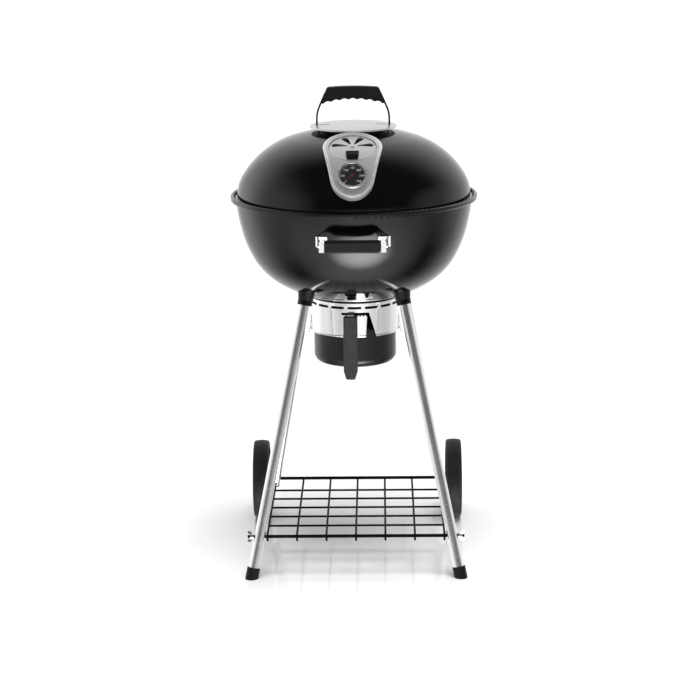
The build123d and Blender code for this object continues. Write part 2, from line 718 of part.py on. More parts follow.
def pan_clip():
    """Spring clip on +X, riveted outside the ring, with a thumb piece that stands out."""
    inner = RING_RADIUS + 2.6
    strip = Plane.XZ * make_face(Polyline(
        (RING_RADIUS + 0.2, RING_LOW + 34), (RING_RADIUS + 1.6, RING_LOW + 34),
        (RING_RADIUS + 1.6, RING_LOW + 18),
        (inner + 1.4, RING_LOW + 12), (inner + 1.4, RING_LOW - 2), (inner + 6, RING_LOW - 8),
        (inner + 4.6, RING_LOW - 9), (inner, RING_LOW - 3), (inner, RING_LOW + 11),
        (RING_RADIUS + 0.2, RING_LOW + 17), close=True).edges())
    return extrude(strip, 7, both=True)


# --- ash sweeper ---

def sweeper_turn(shape):
    """Turn a piece drawn along -Y to where the lever rests."""
    return Rot(0, 0, LEVER_REST) * shape


def sweep_blades():
    """Three blades that lie just over the bowl, joined by a hub plate, each with a stiffening fin."""
    low = BOWL.solid(-SHEET - BLADE_GAP)
    high = BOWL.solid(-SHEET - BLADE_GAP - BLADE_SHEET)
    skin = low - high
    blade_face = sector(12.0, BLADE_RADIUS, BLADE_HALF, corner=3.0)
    tall = BOWL.height(BLADE_RADIUS) - BOWL_BOTTOM + 20
    blades = Pos(0, 0, BOWL_BOTTOM) * Cylinder(26, tall, align=LOW)
    fins = None
    for turn in (60, 180, 300):
        place = Rot(0, 0, -90 + turn) * Pos(0, 0, BOWL_BOTTOM)
        blades += place * extrude(blade_face, tall)
        fin = Box(BLADE_RADIUS - 36, 2, tall, align=(Align.MIN, Align.CENTER, Align.MIN))
        fin = place * (Pos(30, 0, 0) * fin)
        fins = fin if fins is None else fins + fin
    fin_skin = BOWL.solid(-SHEET - BLADE_GAP - BLADE_SHEET / 2) - BOWL.solid(-SHEET - BLADE_GAP - 8)
    plate = (blades & skin) + (fins & fin_skin)
    plate -= Pos(0, 0, BOWL_BOTTOM) * Cylinder(PIN_RADIUS, 40, align=LOW)
    return sweeper_turn(plate)


def sweep_pin():
    """Pin through the bush, with a hexagon head over the blades."""
    hub = BOWL_BOTTOM + SHEET + BLADE_GAP + BLADE_SHEET
    pin = Pos(0, 0, ARM_Z - 9) * Cylinder(PIN_RADIUS, hub + 0.5 - (ARM_Z - 9), align=LOW)
    return pin + Pos(0, 0, hub + 0.4) * hexagon(PIN_RADIUS + 4, 6)


def sweep_nut():
    nut = Pos(0, 0, ARM_Z - ARM_THICK / 2 - 6.1) * hexagon(PIN_RADIUS + 4, 6)
    return nut - Pos(0, 0, ARM_Z - 20) * Cylinder(PIN_RADIUS, 30, align=LOW)


def sweep_arm():
    """Flat bar from the pin out through the ring's slot and down into the grip."""
    bar = Box(ARM_WIDTH, ARM_REACH, ARM_THICK, align=(Align.CENTER, Align.MIN, Align.CENTER))
    flat = Pos(0, -ARM_REACH, ARM_Z) * bar
    flat += Pos(0, 0, ARM_Z) * Cylinder(13, ARM_THICK)
    tang = Pos(0, -ARM_REACH - ARM_THICK / 2, ARM_Z + ARM_THICK / 2) * Box(
        ARM_WIDTH, ARM_THICK, 60, align=HIGH)
    collar = ring(PIN_RADIUS - 0.5, 8.0, ARM_Z, BOWL_BOTTOM - 2.9)
    arm = flat + tang + collar
    arm -= Pos(0, 0, ARM_Z - 20) * Cylinder(PIN_RADIUS, 60, align=LOW)
    return sweeper_turn(arm)


def sweep_grip():
    """Moulded lever grip, tapered at its lower end."""
    half = LEVER_WIDTH / 2
    tip = LEVER_TIP_WIDTH / 2
    top = ARM_Z - ARM_THICK / 2 - 0.2
    low = top - LEVER_LENGTH
    outline = Polyline((-half, top), (half, top), (half, low + LEVER_TIP), (tip, low), (-tip, low),
                       (-half, low + LEVER_TIP), close=True)
    face = Plane.XZ * make_face(outline.edges())
    middle = ARM_REACH + ARM_THICK / 2
    body = Pos(0, -middle, 0) * extrude(face, LEVER_THICK / 2, both=True)
    body = fillet(body.edges(), 3.5)
    slot = Pos(0, -middle, top + 5) * Box(ARM_WIDTH, ARM_THICK, 66, align=HIGH)
    return sweeper_turn(body - slot)


# --- lid ---

def lid_shell():
    wall = LID.solid(0, lead=LID_SKIRT) - LID.solid(-SHEET, lead=LID_SKIRT + 5)
    bead = ring(LID_RADIUS - SHEET, LID_RADIUS + LID_BEAD, LID_EDGE_Z, LID_EDGE_Z + LID_BEAD)
    outer = bead.edges().filter_by(GeomType.CIRCLE).sort_by(SortBy.RADIUS)[-2:]
    shell = wall + fillet(outer, LID_BEAD * 0.45)
    for shape in vent_slots(1.0):
        shell -= shape
    shell -= vent_plane() * Cylinder(RIVET_SHANK, 80)
    shell -= GAUGE * Cylinder(STEM_RADIUS + 0.5, 60)
    for side in (-1, 1):
        shell -= Pos(side * WIRE_ROOT_X, 0, LID_TOP) * Cylinder(HANDLE_WIRE / 2 + 0.1, 60)
    return shell


def heat_shield():
    """Polished disc between the lid and the hand, with two slots for the handle's wire."""
    disc = Pos(0, 0, SHIELD_EDGE_Z + SHIELD_RISE) * cap(SHIELD_RADIUS, SHIELD_RISE, SHIELD_SHEET)
    lip = ring(SHIELD_RADIUS - SHIELD_SHEET, SHIELD_RADIUS, SHIELD_EDGE_Z - 3.5, SHIELD_EDGE_Z)
    shield = disc + lip
    middle = (WIRE_ROOT_X + WIRE_WIDE_X) / 2 - 2
    length = WIRE_WIDE_X - WIRE_ROOT_X + HANDLE_WIRE + 8
    for side in (-1, 1):
        slot = extrude(SlotOverall(length, HANDLE_WIRE + 3.4), 20, both=True)
        shield -= Pos(side * middle, 0, SHIELD_EDGE_Z) * slot
    return shield


def shield_feet():
    """Four blocks that hold the shield off the lid."""
    under = Pos(0, 0, SHIELD_EDGE_Z + SHIELD_RISE - SHIELD_SHEET - 0.1) * cap(SHIELD_RADIUS, SHIELD_RISE, 40)
    inside = Pos(0, 0, SHIELD_EDGE_Z - 40) * Cylinder(SHIELD_RADIUS - SHIELD_SHEET - 0.4, 80, align=LOW)
    feet = []
    for x in (-FOOT_X, FOOT_X):
        for y in (-FOOT_Y, FOOT_Y):
            block = Pos(x, y, SHIELD_EDGE_Z - 25) * Box(FOOT_WIDTH, FOOT_DEPTH, 40, align=LOW)
            block = fillet(block.edges().filter_by(Axis.Z), 3.0)
            feet.append((block & under & inside) - LID.solid(0.1))
    return Compound(feet)


def wire_level():
    """Height at which the handle's wire runs out from its root, just over the lid."""
    return LID.height(WIRE_ROOT_X) + HANDLE_WIRE / 2 + 0.6


def grip_top():
    return LID_TOP + GRIP_HEIGHT - 6.0


def lid_handle_wire():
    level = wire_level()
    root = LID.height(WIRE_ROOT_X) - 16
    top = grip_top() - 12
    half = [(WIRE_ROOT_X, root), (WIRE_ROOT_X, level), (WIRE_WIDE_X, level), (WIRE_WIDE_X, level + 34),
            (GRIP_HALF + 4, top)]
    points = [(-x, 0, z) for x, z in half] + [(x, 0, z) for x, z in reversed(half)]
    bends = [4.0, 6.0, 70.0, 9.0]
    path = FilletPolyline(*points, radius=bends + bends[::-1])
    return sweep(Plane(origin=path @ 0, z_dir=path % 0) * Circle(HANDLE_WIRE / 2), path=path)


def lid_handle_grip():
    """Moulded hand grip with finger grooves under it."""
    top = grip_top()
    ends = top - GRIP_DROP
    arch = GRIP_DEEP
    upper = [(-GRIP_HALF, top), (GRIP_HALF, top)]
    edges = [
        ThreePointArc(upper[0], (0, top + 2.5), upper[1]),
        Line(upper[1], (GRIP_END_X, ends)),
        Line((GRIP_END_X, ends), (GRIP_END_X - 9, ends)),
        ThreePointArc((GRIP_END_X - 9, ends), (0, top - arch), (9 - GRIP_END_X, ends)),
        Line((9 - GRIP_END_X, ends), (-GRIP_END_X, ends)),
        Line((-GRIP_END_X, ends), upper[0]),
    ]
    body = extrude(Plane.XZ * make_face(edges), GRIP_THICK / 2, both=True)
    body = fillet(body.edges().filter_by(Axis.Y).sort_by(Axis.Z)[-2:], 8.0)
    chord = GRIP_END_X - 9
    drop = GRIP_DROP - arch
    swing = (chord ** 2 + drop ** 2) / (2 * drop)
    for index in range(-3, 4):
        x = index * FINGER_PITCH
        arch_z = top - arch - swing + sqrt(swing ** 2 - x ** 2)
        finger = Rot(90, 0, 0) * Cylinder(FINGER_RADIUS, 60)
        body -= Pos(x, 0, arch_z - FINGER_RADIUS + FINGER_DEPTH) * finger
    body -= lid_handle_wire()
    return body


def handle_nut(side):
    level = LID.height(WIRE_ROOT_X) - SHEET - 7.0
    nut = Pos(side * WIRE_ROOT_X, 0, level) * hexagon(6.5, 4.5)
    return nut - Pos(side * WIRE_ROOT_X, 0, level - 1) * Cylinder(HANDLE_WIRE / 2, 10, align=LOW)


def lid_hook():
    """Hook inside the lid, on the left, by which it hangs on the bowl's rim.

    Its outline has uphill first and outwards second, from a point on the lid's surface.
    """
    skin = -SHEET - 2.5
    outline = Polyline(
        (12, 0), (-12, 0), (-13, HOOK_REACH + 8), (-13, HOOK_REACH), (4, HOOK_REACH),
        (4, HOOK_REACH + 2), (-11, HOOK_REACH + 2), (-11, HOOK_REACH + 7.5), (-9, skin), (12, skin),
        close=True)
    hook = extrude(Plane.YZ * make_face(outline.edges()), HOOK_WIDTH / 2, both=True)
    hook = Rot(0, 0, -90) * (LID.front(HOOK_LATITUDE) * hook)
    return hook & LID.solid(-SHEET - 0.1, lead=LID_SKIRT + 5)


# --- vent and thermometer plate ---

def plate_prism(shrink):
    """Outline of the plate, pressed through the lid's front."""
    plane = LID.front(PLATE_LATITUDE)
    vent = plane.to_local_coords(LID.front(VENT_LATITUDE).origin)
    face = drop_shape(PLATE_LARGE - shrink, PLATE_SMALL - shrink, PLATE_LENGTH)
    return plane * (Pos(0, vent.Y, -90) * extrude(face, 150))


def vent_plane():
    return LID.front(VENT_LATITUDE, PLATE_RAISE)


def vent_slots(margin):
    """The four slots, as solids that pass through the disc, the plate and the lid."""
    face = drop_shape(SLOT_WIDE + margin, SLOT_TIP + margin, SLOT_OUT - SLOT_IN)
    plane = vent_plane()
    slots = []
    for angle in VENT_SLOTS:
        slots.append(plane * (Rot(0, 0, angle) * (Pos(0, SLOT_OUT, -30) * extrude(face, 45))))
    return slots


def vent_plate():
    """Pressed cover that carries the vent disc and the thermometer."""
    skin = LID.solid(PLATE_RAISE) - LID.solid(0.15)
    plate = plate_prism(0) & skin
    hollow = plate_prism(PLATE_WALL) & (LID.solid(PLATE_RAISE - PLATE_WALL) - LID.solid(-1))
    hollow -= vent_plane() * Cylinder(VENT_RADIUS + 4, 80)
    plate -= hollow
    edge = VENT_RADIUS + 1.5
    floor = VENT_RISE * (edge / VENT_RADIUS) ** 2
    plate -= vent_plane() * (Pos(0, 0, 20 - VENT_SINK) * cap(edge, floor, 20))
    for slot in vent_slots(0.5):
        plate -= slot
    plate -= vent_plane() * Cylinder(RIVET_SHANK, 80)
    crescent = GAUGE * (Pos(0, -6, 0) * Cylinder(GAUGE_RADIUS + 8, 60))
    plate -= crescent & (LID.solid(PLATE_RAISE + 5) - LID.solid(PLATE_RAISE - 0.9))
    return plate - GAUGE * Cylinder(GAUGE_RADIUS + 0.3, 60)


def vent_disc():
    dome = Pos(0, 0, VENT_GAP + VENT_SHEET - VENT_SINK) * cap(VENT_RADIUS, VENT_RISE, VENT_SHEET)
    disc = vent_plane() * dome
    for slot in vent_slots(0.0):
        disc -= slot
    return disc - vent_plane() * Cylinder(RIVET_SHANK + 0.08, 60)


def vent_rivet():
    """Rivet on which the disc turns; its shank is closed inside the lid."""
    face = VENT_GAP + VENT_SHEET - VENT_SINK + 0.4
    inside = -PLATE_RAISE - SHEET - 0.3
    shank = Pos(0, 0, inside - 2) * Cylinder(RIVET_SHANK, face + 1 - inside + 2, align=LOW)
    head = Pos(0, 0, face) * Cylinder(5.5, 1.6, align=LOW)
    head = fillet(head.edges().sort_by(Axis.Z)[-1:], 1.2)
    tail = Pos(0, 0, inside) * Cylinder(4.5, 2.0, align=HIGH)
    return vent_plane() * (shank + head + tail)


def vent_tab():
    """Ribbed finger tab on the disc's lower side."""
    base = VENT_GAP + VENT_SHEET - VENT_SINK - VENT_RISE * (TAB_OUT / VENT_RADIUS) ** 2
    outline = Polyline((-TAB_WIDTH / 2, -TAB_IN), (TAB_WIDTH / 2, -TAB_IN), (TAB_WIDTH / 2 - 3, -TAB_OUT),
                       (3 - TAB_WIDTH / 2, -TAB_OUT), close=True)
    body = Pos(0, 0, base) * extrude(make_face(outline.edges()), TAB_HEIGHT)
    body = fillet(body.edges().filter_by(Axis.Z), 2.5)
    top = base + TAB_HEIGHT
    wedge = Plane.YZ * make_face(Polyline(
        (-TAB_IN + 1, top + 1), (-TAB_IN + 1, top - 1), (-TAB_OUT + 9, top - 0.5), (-TAB_OUT - 1, top - 6),
        (-TAB_OUT - 1, top + 1), close=True).edges())
    body -= extrude(wedge, TAB_WIDTH, both=True)
    for index in range(3):
        body -= Pos(0, -TAB_IN - 5 - 5 * index, top - 0.6) * Box(TAB_WIDTH + 2, 2.0, 2.0)
    crown = (VENT_RADIUS ** 2 + VENT_RISE ** 2) / (2 * VENT_RISE)
    body -= Pos(0, 0, VENT_GAP + VENT_SHEET - VENT_SINK + 0.1 - crown) * Sphere(crown)
    return vent_plane() * body


# --- thermometer, drawn on the plate's surface with +Z outwards ---

def gauge_case():
    """Cup with the needle's pivot standing in its middle."""
    cup = ring(GAUGE_RADIUS - GAUGE_WALL, GAUGE_RADIUS, -GAUGE_DEPTH, 2.0)
    cup += Pos(0, 0, -GAUGE_DEPTH) * Cylinder(GAUGE_RADIUS, 1.0, align=LOW)
    return GAUGE * (cup + Pos(0, 0, -GAUGE_DEPTH) * Cylinder(PIVOT_RADIUS, GAUGE_DEPTH + 1.9, align=LOW))


def gauge_bezel():
    skirt = ring(GAUGE_RADIUS + 0.1, GAUGE_RADIUS + 1.7, -0.8, 4.0)
    lip = ring(GAUGE_RADIUS - 3.5, GAUGE_RADIUS + 1.7, 3.6, 5.4)
    bezel = skirt + lip
    return GAUGE * fillet(bezel.edges().filter_by(GeomType.CIRCLE).sort_by(Axis.Z)[-2:], 1.0)


def gauge_dial():
    plate = Pos(0, 0, -1.4) * Cylinder(GAUGE_RADIUS - GAUGE_WALL - 0.1, 0.8, align=LOW)
    return GAUGE * (plate - Cylinder(PIVOT_RADIUS + 0.2, 20))


def gauge_glass():
    return GAUGE * (Pos(0, 0, 2.3) * Cylinder(GAUGE_RADIUS - 0.3, 1.2, align=LOW))


def gauge_needle():
    outline = Polyline((-5, -1.4), (GAUGE_NEEDLE, -0.4), (GAUGE_NEEDLE, 0.4), (-5, 1.4), close=True)
    arm = make_face(outline.edges())
    needle = extrude(arm, 0.6) + Cylinder(3.2, 1.2, align=LOW)
    needle -= Cylinder(PIVOT_RADIUS + PIVOT_PLAY, 10)
    return GAUGE * (Pos(0, 0, 0.2) * (Rot(0, 0, NEEDLE_REST) * needle))


def gauge_stem():
    return GAUGE * (Pos(0, 0, -GAUGE_DEPTH) * Cylinder(STEM_RADIUS, STEM_LENGTH, align=HIGH))


def gauge_nut():
    seat = -PLATE_RAISE - SHEET - 1.0
    nut = Pos(0, 0, seat - 5) * hexagon(8.0, 5)
    return GAUGE * (nut - Pos(0, 0, seat - 10) * Cylinder(STEM_RADIUS, 20, align=LOW))


# --- front carrying handle ---

def handle_grip():
    """Moulded bar with bevelled lower corners and a tenon at each end."""
    half = BAR_HALF
    outline = Polyline(
        (-half, BAR_HEIGHT / 2), (half, BAR_HEIGHT / 2), (half, -BAR_HEIGHT / 2 + 7),
        (half - 6, -BAR_HEIGHT / 2),
        (6 - half, -BAR_HEIGHT / 2), (-half, -BAR_HEIGHT / 2 + 7), close=True)
    bar = extrude(Plane.XZ * make_face(outline.edges()), BAR_DEPTH / 2, both=True)
    bar = fillet(bar.edges().filter_by(Axis.X), 4.0)
    tenon_depth = 12.0
    behind_strap = 7.0 + STRAP_THICK + 0.5 + tenon_depth / 2 - BAR_DEPTH / 2
    tenon = Pos(0, behind_strap, 0) * Box(2 * (STRAP_X - STRAP_THICK - 0.3), tenon_depth, BAR_HEIGHT - 10)
    return Pos(0, -HANDLE_REACH + BAR_DEPTH / 2, BAR_Z) * (bar + tenon)


def strap_back():
    """Where a strap's arm would end, inside the bowl's wall."""
    return -BOWL.radius(BAR_Z) + 30


def handle_strap(side):
    """Chromed strap from the bowl to one end of the grip, with a foot against the bowl."""
    front = STRAP_FRONT
    back = strap_back()
    thick = STRAP_THICK
    foot_in = STRAP_FOOT_X - 26
    arm = make_face(Polyline(
        (BAR_HALF + 0.5, front), (STRAP_X, front), (STRAP_FOOT_X, back), (STRAP_FOOT_X - thick, back),
        (STRAP_X - thick, front + thick), (BAR_HALF + 0.5, front + thick), close=True).edges())
    arm = Pos(0, 0, BAR_Z - STRAP_HEIGHT / 2) * extrude(arm, STRAP_HEIGHT)
    foot = (BOWL.solid(thick) - BOWL.solid(0.1)) & (
        Pos(foot_in, 0, BAR_Z) * Box(26, 400, STRAP_HEIGHT, align=(Align.MIN, Align.MAX, Align.CENTER)))
    strap = (arm - BOWL.solid(0.1)) + foot
    return strap if side > 0 else mirror(strap, Plane.YZ)


def handle_screw(side):
    """Head of the screw on the strap's flat arm, and a rivet in its foot."""
    front = Vector(STRAP_X, STRAP_FRONT, BAR_Z)
    along = Vector(STRAP_FOOT_X, strap_back(), BAR_Z) - front
    along = along.normalized()
    outwards = Vector(along.Y, -along.X, 0)
    head = Plane(origin=front + along * 13 + outwards * 0.02, z_dir=outwards) * Cylinder(4.0, 2.2, align=LOW)
    across = STRAP_FOOT_X - 17
    surface = -sqrt(BOWL.radius(BAR_Z, STRAP_THICK) ** 2 - across ** 2)
    above = BOWL.radius(BAR_Z + 1, STRAP_THICK)
    below = BOWL.radius(BAR_Z - 1, STRAP_THICK)
    outwards = Vector(across, surface, (below - above) / 2 * (above + below) / 2).normalized()
    seat = Vector(across, surface, BAR_Z) + outwards * 0.1
    rivet = Plane(origin=seat, z_dir=outwards) * Cylinder(4.5, 2.5, align=LOW)
    pair = [head, rivet]
    return pair if side > 0 else [mirror(piece, Plane.YZ) for piece in pair]


def both_sides(shape):
    return Compound([shape, mirror(shape, Plane.YZ)])


def build():
    parts = {
        "bowl_shell": bowl_shell(),
        "sweep_bearing": sweep_bearing(),
        "cooking_grate_tabs": grate_tabs(cooking_grate_height() - GRATE_WIRE / 2 - 0.4, 45),
        "charcoal_grate_tabs": grate_tabs(coal_grate_height() - GRATE_WIRE * 0.8 - 0.4, 45),
        "cooking_grate": cooking_grate(),
        "charcoal_grate": charcoal_grate(),
        "front_leg_sockets": both_sides(leg_socket(False)),
        "rear_leg_sockets": both_sides(leg_socket(True)),
        "leg_socket_screws": Compound([both_sides(socket_screw(rear)) for rear in (False, True)]),
        "front_right_leg": leg(False),
        "front_left_leg": mirror(leg(False), Plane.YZ),
        "rear_right_leg": leg(True),
        "rear_left_leg": mirror(leg(True), Plane.YZ),
        "foot_caps": both_sides(foot_cap()),
        "rear_leg_plugs": both_sides(rear_plug()),
        "wheel_axle": wheel_axle(),
        "right_wheel": on_axle(wheel(), 1),
        "left_wheel": on_axle(wheel(), -1),
        "axle_caps": Compound([on_axle(axle_cap(), side) for side in (-1, 1)]),
        "axle_spacers": Compound([on_axle(axle_spacer(), side) for side in (-1, 1)]),
        "shelf_rack": shelf_rack(),
        "shelf_front_rod": shelf_front_rod(),
        "wing_nuts": Compound([wing_nut(side) for side in (-1, 1)]),
        "ash_ring": ash_ring(),
        "ash_ring_tabs": Compound([Rot(0, 0, turn) * ash_ring_tab() for turn in LUG_TURNS]),
        "ash_ring_screws": Compound([Rot(0, 0, turn) * ash_ring_screw() for turn in LUG_TURNS]),
        "ash_pan": ash_pan(),
        "ash_pan_clips": both_sides(pan_clip()),
        "sweep_blades": sweep_blades(),
        "sweep_pin": sweep_pin(),
        "sweep_nut": sweep_nut(),
        "sweep_arm": sweep_arm(),
        "sweep_grip": sweep_grip(),
        "lid_shell": lid_shell(),
        "heat_shield": heat_shield(),
        "heat_shield_feet": shield_feet(),
        "lid_handle_wire": lid_handle_wire(),
        "lid_handle_grip": lid_handle_grip(),
        "lid_handle_nuts": Compound([handle_nut(side) for side in (-1, 1)]),
        "lid_hook": lid_hook(),
        "vent_plate": vent_plate(),
        "vent_disc": vent_disc(),
        "vent_tab": vent_tab(),
        "vent_rivet": vent_rivet(),
        "thermometer_case": gauge_case(),
        "thermometer_bezel": gauge_bezel(),
        "thermometer_dial": gauge_dial(),
        "thermometer_glass": gauge_glass(),
        "thermometer_needle": gauge_needle(),
        "thermometer_stem": gauge_stem(),
        "thermometer_nut": gauge_nut(),
        "front_handle_grip": handle_grip(),
        "front_handle_right_strap": handle_strap(1),
        "front_handle_left_strap": handle_strap(-1),
        "front_handle_screws": Compound(handle_screw(1) + handle_screw(-1)),
    }
    return parts


if __name__ == "__main__":
    os.makedirs("parts", exist_ok=True)
    for name, shape in build().items():
        export_step(shape, os.path.join("parts", name + ".step"))
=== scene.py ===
# %% [markdown]
# # The looks of a kettle charcoal grill
#
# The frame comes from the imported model: every piece of the grill already has its shape, its place and the
# body that it moves with. This script gives each piece its finish, adds the small things that the frame
# leaves plain, and sets up a floor, the light and a camera. Everything is in metres.

# %% Load the frame
from math import asin, cos, pi, radians, sin

import bmesh
import bpy
from mathutils import Matrix, Vector


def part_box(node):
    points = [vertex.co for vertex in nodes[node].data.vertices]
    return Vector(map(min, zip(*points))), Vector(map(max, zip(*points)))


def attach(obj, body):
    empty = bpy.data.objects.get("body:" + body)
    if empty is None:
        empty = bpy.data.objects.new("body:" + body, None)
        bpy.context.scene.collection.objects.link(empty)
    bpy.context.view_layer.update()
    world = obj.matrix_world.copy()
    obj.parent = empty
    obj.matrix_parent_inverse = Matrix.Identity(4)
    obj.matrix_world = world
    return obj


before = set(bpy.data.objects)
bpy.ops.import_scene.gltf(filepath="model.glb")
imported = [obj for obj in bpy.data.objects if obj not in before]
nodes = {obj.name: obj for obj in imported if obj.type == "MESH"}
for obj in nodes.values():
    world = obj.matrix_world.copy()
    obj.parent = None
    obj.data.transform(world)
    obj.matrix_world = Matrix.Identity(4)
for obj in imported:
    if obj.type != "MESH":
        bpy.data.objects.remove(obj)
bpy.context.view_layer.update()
scene = bpy.context.scene
print("pieces in the frame:", len(nodes))

# %% [markdown]
# ## A short way to write shader maths
#
# A finish is a graph of nodes. Written link by link, even a small formula takes many lines. So one small
# class stands for a value on its way between nodes: `1 - spots * 0.4` then adds the Math nodes by itself. Any
# other node comes from one method, which sets the node's own settings before its sockets, because some
# settings change which sockets there are.


# %% The value class and the graph
class Value:
    """A socket's value in a graph. Arithmetic on it adds Math nodes."""

    def __init__(self, graph, socket):
        self.graph = graph
        self.socket = socket

    def math(self, operation, first, second=0.0, third=0.0):
        settings = {"operation": operation}
        return self.graph.node("ShaderNodeMath", settings, {0: first, 1: second, 2: third})

    def __add__(self, other):
        return self.math("ADD", self, other)

    def __radd__(self, other):
        return self.math("ADD", other, self)

    def __sub__(self, other):
        return self.math("SUBTRACT", self, other)

    def __rsub__(self, other):
        return self.math("SUBTRACT", other, self)

    def __mul__(self, other):
        return self.math("MULTIPLY", self, other)

    def __rmul__(self, other):
        return self.math("MULTIPLY", other, self)


class Graph:
    """A node tree, with the one method that adds a node."""

    def __init__(self, tree):
        self.tree = tree
        tree.nodes.clear()

    def node(self, kind, settings=None, sockets=None, out=0):
        made = self.tree.nodes.new(kind)
        for name, setting in (settings or {}).items():
            setattr(made, name, setting)
        for name, value in (sockets or {}).items():
            if isinstance(value, Value):
                self.tree.links.new(value.socket, made.inputs[name])
            else:
                made.inputs[name].default_value = value
        return Value(self, made.outputs[out]) if made.outputs else None

    def smooth(self, value, low, high):
        """0 below low, 1 above high and a soft step between them."""
        settings = {"interpolation_type": "SMOOTHSTEP"}
        return self.node("ShaderNodeMapRange", settings, {"Value": value, "From Min": low, "From Max": high})

    def blend(self, factor, first, second):
        """A colour between two, by a factor."""
        settings = {"data_type": "RGBA"}
        return self.node("ShaderNodeMix", settings, {0: factor, 6: first, 7: second}, out=2)

    def vector(self, operation, first, second, scale=1.0, out=0):
        sockets = {0: first, 1: second, 3: scale}
        return self.node("ShaderNodeVectorMath", {"operation": operation}, sockets, out)


# %% [markdown]
# ## Grain, drawn where the piece is
#
# Each piece's own coordinates are metres in the grill's frame, and they travel with the piece when it moves.
# Noise on them needs no unwrapping. Drawn and polished metal has its grain along one direction, so the point
# is squeezed along that direction before it reaches the noise: the specks turn into long fine lines.


# %% Helpers for every finish
def grey(shade):
    return (shade, shade, shade, 1.0)


class Finish(Graph):
    """A material with its Principled shader, and the helpers that finishes share."""

    def __init__(self, name, **constants):
        self.material = bpy.data.materials.new(name)
        self.material.use_nodes = True
        super().__init__(self.material.node_tree)
        self.shader = self.tree.nodes.new("ShaderNodeBsdfPrincipled")
        outlet = self.tree.nodes.new("ShaderNodeOutputMaterial")
        self.tree.links.new(self.shader.outputs[0], outlet.inputs[0])
        for socket, value in constants.items():
            self.shader.inputs[socket.replace("_", " ")].default_value = value
        self.place = self.node("ShaderNodeTexCoord", out="Object")

    def feed(self, socket, value):
        self.tree.links.new(value.socket, self.shader.inputs[socket])

    def noise(self, size, place=None, detail=3.0):
        """Soft noise whose patches are about this many metres across."""
        sockets = {"Vector": place or self.place, "Scale": 1.0 / size, "Detail": detail}
        return self.node("ShaderNodeTexNoise", {}, sockets)

    def along(self, direction, squeeze=0.02):
        """The piece's point, squeezed along a direction so that noise runs that way."""
        line = Vector(direction).normalized()
        reach = self.vector("DOT_PRODUCT", self.place, line, out=1)
        share = self.vector("SCALE", tuple(line), (0, 0, 0), reach * (1.0 - squeeze))
        return self.vector("SUBTRACT", self.place, share)

    def around(self, squeeze=0.02):
        """Turn, distance and height about the kettle's axis, for grain that runs round."""
        x = self.node("ShaderNodeSeparateXYZ", {}, {0: self.place}, out=0)
        y = self.node("ShaderNodeSeparateXYZ", {}, {0: self.place}, out=1)
        z = self.node("ShaderNodeSeparateXYZ", {}, {0: self.place}, out=2)
        usual_reach = 0.1
        turn = x.math("ARCTAN2", y, x)
        reach = x.math("SQRT", x * x + y * y)
        return self.node("ShaderNodeCombineXYZ", {}, {0: turn * usual_reach * squeeze, 1: reach, 2: z})

    def bump(self, height, depth):
        """Relief of this depth in metres, without moving the mesh."""
        sockets = {"Height": height, "Distance": depth, "Strength": 1.0}
        self.feed("Normal", self.node("ShaderNodeBump", {}, sockets))


def dress(finish, *names):
    """Give a finish to nodes of the frame."""
    for name in names:
        slots = nodes[name].data.materials
        slots.clear()
        slots.append(finish.material)


def smooth_shading(*names, angle=35):
    """Shade curved faces smoothly and keep edges sharper than the angle."""
    for name in names:
        mesh = nodes[name].data
        mesh.shade_smooth()
        mesh.set_sharp_from_angle(angle=radians(angle))


smooth_shading(*nodes)

# %% [markdown]
# ## Porcelain enamel
#
# The bowl, the lid and the ash pan are pressed steel with fired enamel: a glass layer, nearly black, that
# mirrors the room. A plain gloss black looks like plastic. Real enamel has a faint ripple from the firing,
# called orange peel, and its polish changes a little from place to place. The ripple is a bump of a few
# micrometres, and soft noise moves the roughness.


# %% Enamel
def enamel(name, shade, roughness, ripple):
    finish = Finish(name, IOR=1.5, Specular_IOR_Level=0.34)
    wide = finish.noise(0.14, detail=2.0)
    fine = finish.noise(0.0012, detail=1.0)
    specks = finish.smooth(finish.noise(0.0022, detail=0.0), 0.74, 0.80)
    finish.feed("Base Color", finish.blend(specks * 0.35, grey(shade), grey(shade * 5.0)))
    finish.feed("Roughness", roughness + 0.05 * finish.smooth(wide, 0.35, 0.7) + 0.02 * fine)
    finish.bump(finish.noise(0.009, detail=2.0), ripple)
    return finish


bowl_enamel = enamel("black enamel", 0.0022, 0.085, 0.00003)
pan_enamel = enamel("ash pan enamel", 0.005, 0.15, 0.00003)
dress(bowl_enamel, "bowl_shell", "lid_shell", "cooking_grate_tabs", "charcoal_grate_tabs")
dress(pan_enamel, "ash_pan")

# %% [markdown]
# ## Black paint and coated wire
#
# The leg sockets are painted after welding, and the shelf is dipped wire. Both are black and duller than the
# enamel, and the paint lies in soft lumps over the metal. The coating of the wire thins out a little and
# shines where hands and coal bags rub it, so its roughness follows wider noise.


# %% Paint and coating
def black_paint(name, shade, roughness, lump, depth, specular):
    finish = Finish(name, IOR=1.5, Specular_IOR_Level=specular)
    rubbed = finish.smooth(finish.noise(0.03), 0.4, 0.65)
    finish.feed("Base Color", finish.blend(rubbed, grey(shade), grey(shade * 1.7)))
    finish.feed("Roughness", roughness - 0.12 * rubbed)
    finish.bump(finish.noise(lump), depth)
    return finish


socket_paint = black_paint("socket paint", 0.005, 0.32, 0.0016, 0.00006, 0.25)
wire_coating = black_paint("wire coating", 0.0035, 0.60, 0.0011, 0.00008, 0.05)
dress(socket_paint, "front_leg_sockets", "rear_leg_sockets")
dress(wire_coating, "shelf_rack", "shelf_front_rod", "wheel_axle", "lid_handle_wire")

